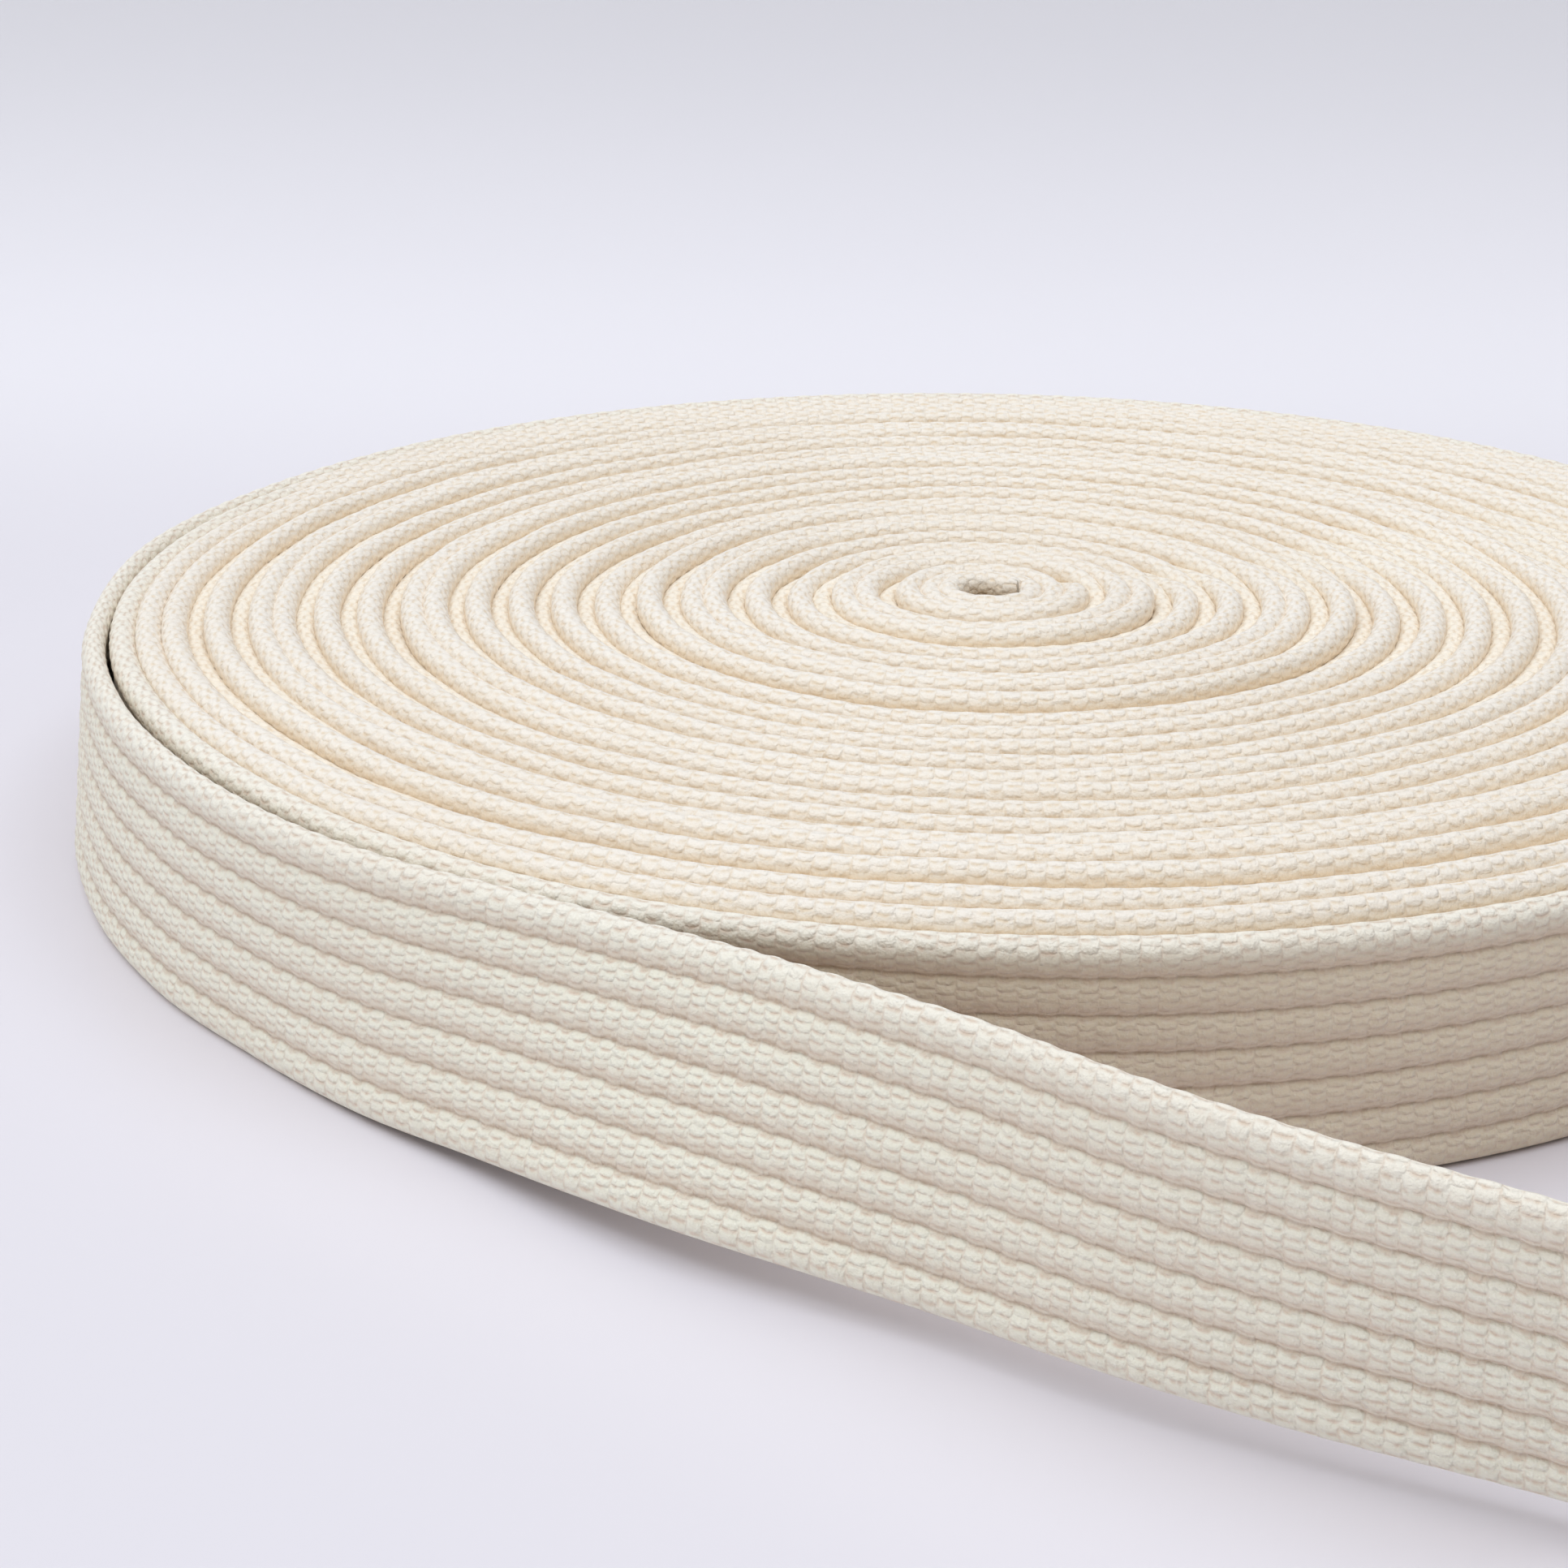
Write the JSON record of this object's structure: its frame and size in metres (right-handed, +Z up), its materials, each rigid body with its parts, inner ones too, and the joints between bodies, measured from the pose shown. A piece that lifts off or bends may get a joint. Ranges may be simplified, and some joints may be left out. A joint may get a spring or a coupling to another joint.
{
  "type": "roll of cotton webbing with a loose end",
  "caption": "Ribbed cotton webbing wound flat on itself into a disc that rests on its edges, with the outer end trailing loose.",
  "frame": {"origin": "middle of the plan outline of roll and loose end together, on the surface it rests on", "axes": "+Z up out of the roll's top, -Y towards the side where the loose end trails, +X towards the side it trails to"},
  "size_m": [0.2126, 0.2651, 0.0277],
  "materials": {
    "cotton": "matt natural cotton"
  },
  "bodies": {
    "root": {"wound_roll": "cotton", "loose_end": "cotton"}
  },
  "joints": []
}
